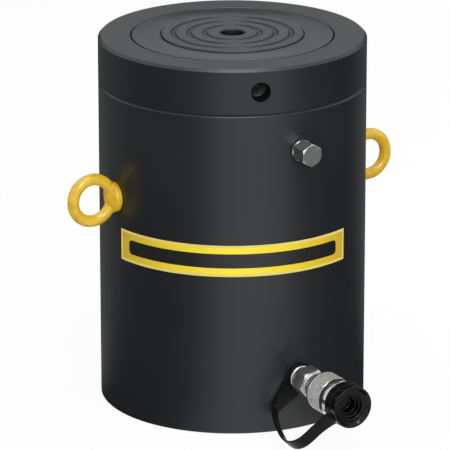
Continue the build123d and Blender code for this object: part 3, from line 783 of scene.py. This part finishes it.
# The coupler's collar: rounded shoulder, knurled grip, groove, polished band and raised rim
COLLAR_BACK_R = 20 * MM
COLLAR_TAPER = 5.5 * MM
COLLAR_RIM_W = 1.4 * MM
COLLAR_RIM_PROUD = 0.2 * MM
COLLAR_GROOVE = 15 * MM
COLLAR_GROOVE_W = 1.4 * MM
COLLAR_GROOVE_D = 0.8 * MM
SHOULDER_STEPS = 9
GRIP_STEPS = 96
JOURNAL_R = 13.05 * MM
RING_SPACE_R = 14.5 * MM
RING_SPACE = 10.2 * MM
KNURL_DEPTH = 0.42 * MM
KNURL_COUNT = 72
KNURL_SLANT = 0.6
KNURL_FADE = 0.8 * MM
collar_r = collar_hi.x - COLLAR_RIM_PROUD
collar_start, collar_end = out_span(collar_lo, collar_hi)
knurl_from = collar_start + COLLAR_TAPER
knurl_to = collar_end - COLLAR_GROOVE - KNURL_FADE


def collar_profile():
    groove = collar_end - COLLAR_GROOVE
    profile = [
        (collar_start, JOURNAL_R),
        (collar_start, COLLAR_BACK_R - 0.8 * MM),
        (collar_start + 0.2 * MM, COLLAR_BACK_R - 0.2 * MM),
    ]
    for k in range(1, SHOULDER_STEPS):
        a = pi / 2 * k / SHOULDER_STEPS
        profile.append((collar_start + COLLAR_TAPER * (1 - cos(a)),
                        COLLAR_BACK_R + (collar_r - COLLAR_BACK_R) * sin(a)))
    grip = knurl_to - knurl_from
    profile += [(knurl_from + grip * k / GRIP_STEPS, collar_r) for k in range(GRIP_STEPS + 1)]
    rim = collar_end - COLLAR_RIM_W
    profile += [
        (groove - 0.25 * MM, collar_r),
        (groove, collar_r - 0.25 * MM),
        (groove, collar_r - COLLAR_GROOVE_D),
        (groove + COLLAR_GROOVE_W, collar_r - COLLAR_GROOVE_D),
        (groove + COLLAR_GROOVE_W, collar_r - 0.3 * MM),
        (groove + 1.7 * MM, collar_r),
        (rim - 0.9 * MM, collar_r),
        (rim - 0.1 * MM, collar_r - 0.6 * MM),
        (rim, collar_r - 0.1 * MM),
        (rim + 0.4 * MM, collar_r + COLLAR_RIM_PROUD),
        (collar_end - 0.5 * MM, collar_r + COLLAR_RIM_PROUD),
        (collar_end, collar_r - 0.2 * MM),
        (collar_end, RING_SPACE_R),
        (collar_end - RING_SPACE, RING_SPACE_R),
        (collar_end - RING_SPACE, JOURNAL_R),
    ]
    return profile


collar_points = collar_profile()


def knurl(i, distance, angle):
    """Crossed grooves that leave small diamonds, fading out at both ends of the grip."""
    if not knurl_from - TINY <= distance <= knurl_to + TINY:
        return 0.0
    run = (distance - knurl_from) / collar_r * KNURL_COUNT / 2 * KNURL_SLANT
    a = abs(sin(KNURL_COUNT / 2 * angle + run))
    b = abs(sin(KNURL_COUNT / 2 * angle - run))
    edge = min(distance - knurl_from, knurl_to - distance) / KNURL_FADE
    return -KNURL_DEPTH * (1 - min(a, b)) ** 1.5 * min(max(edge, 0.0), 1.0)


def collar_tone(i, j):
    return 1 if knurl_from <= collar_points[i][0] < knurl_to else 0


collar_mesh = lathe("knurled_collar", collar_points, outward, steps=576, wave=knurl, tone=collar_tone)
finished("knurled_collar", outward_facing(collar_mesh), [collar_band, collar_grip], "collar", "collar_steel",
         "coupler_collar", smooth_angle=45)


# Dust cap and its band
CAP_LENGTH = 22.5 * MM
CAP_SPIGOT_R = 9.4 * MM
CAP_SOCKET_R = 14.5 * MM
CAP_POCKET_R = 8.5 * MM
CAP_DISH_R = 22 * MM
CAP_DISH_FLOOR_R = 19.5 * MM
BAND_T = 2.2 * MM
cap_r = cap_hi.x
cap_tip, cap_front = out_span(cap_lo, cap_hi)
cap_back = cap_front - CAP_LENGTH
band_back, band_front = out_span(band_lo, band_hi)
band_r = band_hi.x
band_seat_r = band_r - BAND_T


def moulded_round(name, corners, closed=True):
    """A turned moulding: each corner is (distance, radius, its rounding in mm)."""
    profile = rounded([c[:2] for c in corners], [c[2] * MM for c in corners], 5)
    return outward_facing(lathe(name, profile, outward, steps=144, closed=closed))


cap_corners = (
    (cap_tip, 0.0, 0),
    (cap_tip, CAP_SPIGOT_R, 1.2),
    (cap_back, CAP_SPIGOT_R, 0.4),
    (cap_back, cap_r, 2.4),
    (band_back - RING_GAP, cap_r, 0.5),
    (band_back - RING_GAP, band_seat_r, 0),
    (band_front + RING_GAP, band_seat_r, 0),
    (band_front + RING_GAP, cap_r, 0.5),
    (cap_front, cap_r, 1.8),
    (cap_front, CAP_DISH_R, 0.8),
    (cap_front - 3.5 * MM, CAP_DISH_FLOOR_R, 1.2),
    (cap_front - 4 * MM, CAP_SOCKET_R + 0.8 * MM, 0.8),
    (cap_front - 4.8 * MM, CAP_SOCKET_R, 0.4),
    (cap_front - 8 * MM, CAP_SOCKET_R - 0.7 * MM, 0.4),
    (cap_front - 8 * MM, CAP_SOCKET_R - 2.6 * MM, 0.6),
    (cap_front - 12 * MM, CAP_SOCKET_R - 3.2 * MM, 0.4),
    (cap_front - 12 * MM, CAP_POCKET_R + 0.8 * MM, 0.6),
    (cap_front - 20 * MM, CAP_POCKET_R, 1.2),
    (cap_front - 20 * MM, 0.0, 0),
)
cap_mesh = moulded_round("moulded_dust_cap", cap_corners, closed=False)
finished("moulded_dust_cap", cap_mesh, [cap_plastic], "cap", "cap_black", "dust_cap")

band_corners = (
    (band_back, band_seat_r, 0),
    (band_back, band_r, 0.7),
    (band_front, band_r, 0.7),
    (band_front, band_seat_r, 0),
)
band_mesh = moulded_round("moulded_cap_band", band_corners)
finished("moulded_cap_band", band_mesh, [rubber], "cap", "black_rubber", "strap_cap_ring")

# Route of the strap: the same points as the solid's, and one more inside the cap
strap_route = [
    (-0.0338, -0.1570, 0.0287),
    (-0.0371, -0.1620, 0.0254),
    (-0.0421, -0.1745, 0.0204),
    (-0.0467, -0.1900, 0.0158),
    (-0.0506, -0.2060, 0.0119),
    (-0.0518, -0.2175, 0.0107),
    (-0.0504, -0.2283, 0.0121),
    (-0.0458, -0.2366, 0.0167),
    (-0.0390, -0.2409, 0.0235),
    (-0.0317, -0.2431, 0.0308),
    (-0.0250, -0.2470, 0.0375),
    (-0.0181, -0.2513, 0.0444),
    (-0.0148, -0.2560, 0.0477),
]
STRAP_W = 11.5 * MM
STRAP_WIDE = 16 * MM
STRAP_T = 2.3 * MM
STRAP_FLARE = 20.5 * MM
STRAP_SIDES = 28


def spline_points(points, resolution=12):
    """Points along the NURBS spline that has these control points."""
    curve = bpy.data.curves.new("strap_line", "CURVE")
    curve.dimensions = "3D"
    spline = curve.splines.new("NURBS")
    spline.points.add(len(points) - 1)
    for control, place in zip(spline.points, points):
        control.co = (*place, 1)
    spline.order_u = 3
    spline.use_endpoint_u = True
    spline.resolution_u = resolution
    mesh = applied(placed("strap_line", curve))
    bpy.data.curves.remove(curve)
    return [v.co.copy() for v in mesh.vertices]


def smooth_share(t):
    t = min(max(t, 0.0), 1.0)
    return t * t * (3 - 2 * t)


def ribbon(name, line, across, width, thickness, wrap):
    """A flat strap along a line, and its length: width(share) is its width, in the direction of across.

    wrap(share, offset) moves the strap's edges towards the cap that it wraps."""
    length = sum((b - a).length for a, b in zip(line, line[1:]))
    rows = []
    travelled = 0.0
    for i, here in enumerate(line):
        if i:
            travelled += (here - line[i - 1]).length
        ahead = (line[min(i + 1, len(line) - 1)] - line[max(i - 1, 0)]).normalized()
        out = ahead.cross(across).normalized()
        w = width(travelled / length) / 2
        t = thickness / 2
        row = []
        for a in circle(STRAP_SIDES):
            u = abs(cos(a)) ** 0.3 * (1 if cos(a) >= 0 else -1)
            v = abs(sin(a)) ** 0.55 * (1 if sin(a) >= 0 else -1)
            row.append(here + across * (w * u) + out * (t * v) + wrap(travelled / length, w * u))
        rows.append([tuple(p) for p in row])
    mesh = grid_mesh(name, rows)
    bm = bmesh.new()
    bm.from_mesh(mesh)
    bm.verts.ensure_lookup_table()
    bm.faces.new([bm.verts[k] for k in range(STRAP_SIDES)])
    last = (len(rows) - 1) * STRAP_SIDES
    bm.faces.new([bm.verts[last + k] for k in reversed(range(STRAP_SIDES))])
    bmesh.ops.recalc_face_normals(bm, faces=bm.faces)
    bm.to_mesh(mesh)
    bm.free()
    return mesh, length


strap_line = spline_points(strap_route)
strap_across = Vector((1, 0, -1)).normalized()
towards_cap = Vector((1, 0, 1)).normalized()


def strap_width_at(share):
    """Its width grows past the tongue, and again where it runs into the cap."""
    wide = STRAP_W + (STRAP_WIDE - STRAP_W) * smooth_share((share - 0.12) / 0.4)
    return wide + (STRAP_FLARE - STRAP_WIDE) * smooth_share((share - 0.8) / 0.2) ** 1.4


def strap_wrap(share, offset):
    return towards_cap * (smooth_share((share - 0.75) / 0.2) * offset**2 / (2 * band_r))


strap_mesh, strap_length = ribbon(
    "rubber_strap", strap_line, strap_across, strap_width_at, STRAP_T, strap_wrap
)
strap = finished("rubber_strap", strap_mesh, [rubber], None, "black_rubber", smooth_angle=50)
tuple(strap_route[3])
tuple(strap_route[-1])
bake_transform(strap)
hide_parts("dust_cap_strap")
tuple(strap_line[0])
[tuple(p) for p in strap_line]

# The check valve's spring, built at one length; in the valve it shortens as the ball is pushed off its seat
SPRING_WIRE_R = 0.55 * MM
SPRING_TURNS = 4.5
SPRING_STEPS = 144
SPRING_SIDES = 10
spring_back, spring_front = out_span(spring_lo, spring_hi)
spring_back += SPRING_WIRE_R
spring_front -= SPRING_WIRE_R
spring_r = spring_hi.x - SPRING_WIRE_R


def spring_rows():
    rows = []
    # a small first and last ring close the wire's ends
    shares = [(0.0, 0.02)] + [(i / SPRING_STEPS, 1.0) for i in range(SPRING_STEPS + 1)] + [(1.0, 0.02)]
    for share, fatness in shares:
        angle = pi - tau * SPRING_TURNS * share
        middle = spring_back + (spring_front - spring_back) * share
        wire_r = SPRING_WIRE_R * fatness
        rows.append([outward(middle + wire_r * sin(a), spring_r + wire_r * cos(a), angle)
                     for a in circle(SPRING_SIDES)])
    return rows


spring_mesh = outward_facing(grid_mesh("coiled_valve_spring", spring_rows()))
spring = finished("coiled_valve_spring", spring_mesh, [spring_wire], None, "spring_steel", smooth_angle=60)
outward(spring_back, 0.0, 0.0)
outward(spring_front, 0.0, 0.0)
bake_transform(spring)
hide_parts("valve_spring")

# The tether's ring under the nipple, its tongue narrowing to the strap
RING_BORE_R = 8.6 * MM
RING_STEPS = 240
EDGE_STEPS = 4
TONGUE_EDGE = 0.9 * MM
TONGUE_TIP = 47.0 * MM
TONGUE_WAY = radians(225)
ring_r = ring_hi.x
ring_back, ring_front = out_span(ring_lo, ring_hi)


def ring_outline(angle):
    """Outer radius of the ring and its tongue, seen along the coupler's axis."""
    turn = (angle - TONGUE_WAY + pi) % tau - pi
    if abs(turn) > pi / 2:
        return ring_r
    half = STRAP_W / 2
    c = cos(turn)
    s = abs(sin(turn))
    # the side runs straight from the ring's flank to the strap's edge
    reach = ring_r * TONGUE_TIP / (c * (ring_r - half) + s * TONGUE_TIP)
    if c > TINY and reach * c > TONGUE_TIP:
        reach = TONGUE_TIP / c
    return max(ring_r, reach)


def ring_with_tongue():
    points = []
    for angle in circle(RING_STEPS):
        outer = ring_outline(angle)
        column = [(RING_BORE_R, ring_back), (outer - TONGUE_EDGE, ring_back)]
        for k in range(1, EDGE_STEPS + 1):
            a = pi / 2 * k / EDGE_STEPS
            column.append((outer - TONGUE_EDGE * (1 - sin(a)), ring_back + TONGUE_EDGE * (1 - cos(a))))
        for k in range(EDGE_STEPS):
            a = pi / 2 * k / EDGE_STEPS
            column.append((outer - TONGUE_EDGE * (1 - cos(a)), ring_front - TONGUE_EDGE * (1 - sin(a))))
        column.append((outer - TONGUE_EDGE, ring_front))
        column.append((RING_BORE_R, ring_front))
        points.append([outward(d, r, angle) for r, d in column])
    return grid_mesh("rubber_strap_ring", points, close_rows=True)


ring_mesh = outward_facing(ring_with_tongue())
finished("rubber_strap_ring", ring_mesh, [rubber], "root", "black_rubber", "strap_ring")


# Yellow label: keyline, pale border and one plain dark stripe
LABEL_AZIMUTH = radians(-29.8)
LABEL_HALF = radians(55.5)
LABEL_LOW = 189 * MM
LABEL_HIGH = 228 * MM
KEYLINE = 1.0 * MM
BORDER = 3.0 * MM
STRIPE_H = 17 * MM
STRIPE_INSET = 12 * MM
STRIPE_ROUND = 5 * MM
CORNER_STEPS = 8
LABEL_T = 0.15 * MM
LABEL_SINK = 0.1 * MM
LABEL_STEP = 2.5 * MM

label_dark = moulded("label_black", (0.008, 0.008, 0.009), (0.012, 0.012, 0.013), (0.3, 0.42), 1500, 0.00001)
label_pale = moulded("label_pale", (0.78, 0.62, 0.14), (0.84, 0.68, 0.18), (0.28, 0.4), 1500, 0.00001)
label_yellow = Finish("label_yellow", (0.9, 0.75, 0.02), 0.32)
# Painted shade: the yellow darkens from the label's middle towards its ends, where the barrel turns away from
# the light
towards_front = label_yellow.math("MULTIPLY", label_yellow.axis("Y"), -1)
bearing = label_yellow.math("ARCTAN2", label_yellow.axis("X"), towards_front)
off_middle_shade = label_yellow.math("ABSOLUTE", label_yellow.math("SUBTRACT", bearing, LABEL_AZIMUTH))
label_yellow.colours(
    label_yellow.math("DIVIDE", off_middle_shade, LABEL_HALF),
    (0.0, (0.95, 0.8, 0.02)),
    (0.45, (0.86, 0.66, 0.012)),
    (1.0, (0.62, 0.4, 0.008)),
)
label_yellow.roughen(label_yellow.grain(300, 3), 0.28, 0.4)
label_yellow.bump(label_yellow.grain(900, 2), 0.00001, 0.4)


def label_mesh():
    """One curved sheet, cut where its colours change: the stripe's height shrinks in at its rounded ends."""
    half = LABEL_HALF * body_r
    inner = half - KEYLINE - BORDER
    stripe = inner - STRIPE_INSET
    cuts = {-half: (0, 0.0), -half + KEYLINE: (1, 0.0), -inner: (2, 0.0)}
    for n in range(CORNER_STEPS + 1):
        a = pi / 2 * n / CORNER_STEPS
        inset = STRIPE_ROUND * (1 - cos(a))
        shrink = STRIPE_ROUND * (1 - sin(a))
        cuts[-stripe + inset] = (3, shrink)
        cuts[stripe - inset] = (3 if n else 2, shrink)
    cuts[inner] = (1, 0.0)
    cuts[half - KEYLINE] = (0, 0.0)
    cuts[half] = (0, 0.0)
    marks = sorted(cuts)
    columns = []
    for a, b in zip(marks, marks[1:]):
        count = max(1, ceil((b - a) / LABEL_STEP))
        shrink = cuts[a][1]
        columns += [(a + (b - a) * k / count, shrink, cuts[a][0]) for k in range(count)]
    columns.append((marks[-1], 0.0, 0))
    middle = (LABEL_LOW + LABEL_HIGH) / 2
    edge = KEYLINE + BORDER

    def heights(shrink):
        reach = STRIPE_H / 2 - shrink
        return (LABEL_LOW, LABEL_LOW + KEYLINE, LABEL_LOW + edge, middle - reach,
                middle + reach, LABEL_HIGH - edge, LABEL_HIGH - KEYLINE, LABEL_HIGH)

    def point(s, z, lift):
        a = LABEL_AZIMUTH + s / body_r
        r = body_r + lift
        return (r * sin(a), -r * cos(a), z)

    rows = [[point(s, LABEL_LOW, -LABEL_SINK) for s, shrink, kind in columns]]
    rows += [[point(s, heights(shrink)[i], LABEL_T) for s, shrink, kind in columns] for i in range(8)]
    rows += [[point(s, LABEL_HIGH, -LABEL_SINK) for s, shrink, kind in columns]]
    # the highest material number that each row of faces may have
    most = (0, 0, 1, 2, 3, 2, 1, 0, 0)

    def tone(i, j):
        return min(columns[j][2], most[i])

    mesh = grid_mesh("front_label", rows, close_columns=False, tone=tone)
    bm = bmesh.new()
    bm.from_mesh(mesh)
    bmesh.ops.recalc_face_normals(bm, faces=bm.faces)
    sample = min(bm.faces, key=lambda f: abs(f.calc_center_median().z - middle))
    centre = sample.calc_center_median()
    if sample.normal.dot(Vector((centre.x, centre.y, 0))) < 0:
        bmesh.ops.reverse_faces(bm, faces=bm.faces)
    bm.to_mesh(mesh)
    bm.free()
    return mesh


label_tones = [label_dark, label_pale, label_yellow, label_dark]
finished("front_label", label_mesh(), label_tones, "root", "eye_yellow")


# Studio and view
VIEW_AZIMUTH = radians(-29.8)
FLOOR_GLOW = 0.93
FLOOR_HALF = 40
ROOM_LIGHT = 0.42


def stage_tree(holder):
    holder.use_nodes = True
    holder.node_tree.nodes.clear()
    return holder.node_tree


def first_seen(tree):
    """1 for what the camera sees directly, in a reflection or through glass."""
    path = tree.nodes.new("ShaderNodeLightPath")
    seen = path.outputs["Is Camera Ray"]
    for other in ("Is Glossy Ray", "Is Transmission Ray"):
        either = tree.nodes.new("ShaderNodeMath")
        either.operation = "MAXIMUM"
        tree.links.new(seen, either.inputs[0])
        tree.links.new(path.outputs[other], either.inputs[1])
        seen = either.outputs[0]
    return seen


def stage_mesh(name, points, faces, material):
    mesh = bpy.data.meshes.new(name)
    mesh.from_pydata(points, [], faces)
    mesh.materials.append(material)
    obj = placed(name, mesh)
    return obj


def seen_as(tree, share, lit, shown, output):
    """Wires the lit shader to the output, and the shown one to the share that is seen directly."""
    mix = tree.nodes.new("ShaderNodeMixShader")
    tree.links.new(share, mix.inputs["Fac"])
    tree.links.new(lit.outputs[0], mix.inputs[1])
    tree.links.new(shown.outputs[0], mix.inputs[2])
    out = tree.nodes.new(output)
    tree.links.new(mix.outputs[0], out.inputs["Surface"])


# White floor that keeps a faint shadow
floor_white = bpy.data.materials.new("floor_white")
tree = stage_tree(floor_white)
diffuse = tree.nodes.new("ShaderNodeBsdfDiffuse")
diffuse.inputs["Color"].default_value = (0.95, 0.95, 0.95, 1)
glow = tree.nodes.new("ShaderNodeEmission")
share = tree.nodes.new("ShaderNodeMath")
share.operation = "MULTIPLY"
share.inputs[1].default_value = FLOOR_GLOW
tree.links.new(first_seen(tree), share.inputs[0])
seen_as(tree, share.outputs[0], diffuse, glow, "ShaderNodeOutputMaterial")
corners = [(x * FLOOR_HALF, y * FLOOR_HALF, 0) for x, y in ((-1, -1), (1, -1), (1, 1), (-1, 1))]
floor = stage_mesh("floor", corners, [(0, 1, 2, 3)], floor_white)
floor.location.z = -0.4 * MM

world = bpy.data.worlds.new("studio")
bpy.context.scene.world = world
tree = stage_tree(world)
backgrounds = []
for strength in (ROOM_LIGHT, 1.0):
    background = tree.nodes.new("ShaderNodeBackground")
    background.inputs["Color"].default_value = (1, 1, 1, 1)
    background.inputs["Strength"].default_value = strength
    backgrounds.append(background)
seen_as(tree, first_seen(tree), *backgrounds, "ShaderNodeOutputWorld")


def flag(name, points, faces, *stops, along="bearing", centre=0.0, top=1.0):
    """A black-to-grey studio card that shows in reflections alone, toned round the object or by height."""
    mat = bpy.data.materials.new(name)
    tree = stage_tree(mat)
    place = tree.nodes.new("ShaderNodeTexCoord").outputs["Object"]
    if along == "bearing":
        # cosine of the angle from the bearing of the lit strip, from 0 opposite it to 1 on it
        flat = tree.nodes.new("ShaderNodeVectorMath")
        flat.operation = "NORMALIZE"
        tree.links.new(place, flat.inputs[0])
        dot = tree.nodes.new("ShaderNodeVectorMath")
        dot.operation = "DOT_PRODUCT"
        dot.inputs[1].default_value = (sin(centre), -cos(centre), 0)
        tree.links.new(flat.outputs[0], dot.inputs[0])
        value = dot.outputs["Value"]
        reach = (-1.0, 1.0)
    else:
        split = tree.nodes.new("ShaderNodeSeparateXYZ")
        tree.links.new(place, split.inputs[0])
        value = split.outputs["Z"]
        reach = (0.0, top)
    span = tree.nodes.new("ShaderNodeMapRange")
    span.inputs["From Min"].default_value = reach[0]
    span.inputs["From Max"].default_value = reach[1]
    tree.links.new(value, span.inputs["Value"])
    ramp = tree.nodes.new("ShaderNodeValToRGB")
    fill_ramp(ramp, [(at, (grey, grey, grey)) for at, grey in stops])
    tree.links.new(span.outputs["Result"], ramp.inputs["Fac"])
    glow = tree.nodes.new("ShaderNodeEmission")
    tree.links.new(ramp.outputs["Color"], glow.inputs["Color"])
    out = tree.nodes.new("ShaderNodeOutputMaterial")
    tree.links.new(glow.outputs[0], out.inputs["Surface"])
    obj = stage_mesh(name, points, faces, mat)
    obj.visible_camera = False
    obj.visible_diffuse = False
    obj.visible_transmission = False
    obj.visible_volume_scatter = False
    obj.visible_shadow = False
    return obj


# Dark floor round the object, with one lit strip that the barrel reflects as its bright band
FLAG_R = 5.0
FLAG_STEPS = 96
STRIP_BEARING = VIEW_AZIMUTH + radians(15)
disc = [(0, 0, 0)] + [(FLAG_R * cos(a), FLAG_R * sin(a), 0) for a in circle(FLAG_STEPS)]
dark_floor = flag(
    "dark_floor",
    disc,
    [(0, k + 1, (k + 1) % FLAG_STEPS + 1) for k in range(FLAG_STEPS)],
    (0.0, 0.12),
    (0.05, 0.18),
    (0.2, 0.2),
    (0.45, 0.03),
    (0.76, 0.025),
    (0.87, 0.12),
    (0.95, 0.65),
    (0.982, 1.0),
    centre=STRIP_BEARING,
)
dark_floor.location.z = -0.2 * MM

# Grey wall behind, which the level top faces reflect
WALL_R = 4.8
WALL_H = 2.3
WALL_HALF = radians(75)
WALL_STEPS = 60
wall_start = VIEW_AZIMUTH + pi - WALL_HALF
bends = [wall_start + 2 * WALL_HALF * k / WALL_STEPS for k in range(WALL_STEPS + 1)]
wall = [(WALL_R * sin(a), -WALL_R * cos(a), z) for z in (0, WALL_H) for a in bends]
flag(
    "grey_wall",
    wall,
    [(k, k + 1, k + WALL_STEPS + 2, k + WALL_STEPS + 1) for k in range(WALL_STEPS)],
    (0.0, 0.02),
    (0.45, 0.05),
    (0.72, 0.25),
    (1.0, 0.75),
    along="height",
    top=WALL_H,
)


def softbox(name, turn, height, distance, size, power, in_gloss=True):
    """An area lamp, its bearing in degrees to the right of the camera's."""
    a = VIEW_AZIMUTH + radians(turn)
    lamp = bpy.data.lights.new(name, "AREA")
    lamp.shape = "RECTANGLE"
    lamp.size = size[0]
    lamp.size_y = size[1]
    lamp.energy = power
    obj = placed(name, lamp)
    obj.location = (distance * sin(a), -distance * cos(a), height)
    aim = Vector((0, 0, 0.25)) - obj.location
    obj.rotation_euler = aim.to_track_quat("-Z", "Y").to_euler()
    obj.visible_glossy = in_gloss


softbox("key", 15, 1.7, 2.4, (0.7, 1.4), 30)
softbox("fill_left", -110, 1.2, 2.2, (1.2, 1.8), 14, in_gloss=False)
softbox("fill_right", 130, 1.2, 2.2, (1.2, 1.8), 20, in_gloss=False)
softbox("overhead", 10, 2.4, 0.7, (0.9, 0.9), 14)

# The camera stands where the photograph's ellipses and edges put it
CAMERA_PLACE = (-2.2364, -3.9050, 1.657)
CAMERA_PITCH = radians(17.92)
camera_data = bpy.data.cameras.new("camera")
camera = placed("camera", camera_data)
camera.location = CAMERA_PLACE
level = cos(CAMERA_PITCH)
look = Vector((-sin(VIEW_AZIMUTH) * level, cos(VIEW_AZIMUTH) * level, -sin(CAMERA_PITCH)))
camera.rotation_euler = look.to_track_quat("-Z", "Y").to_euler()
camera_data.sensor_width = 36
camera_data.lens = 323.9
camera_data.shift_x = -0.0165
camera_data.clip_end = 200
bpy.context.scene.camera = camera
bpy.context.scene.view_settings.view_transform = "Standard"
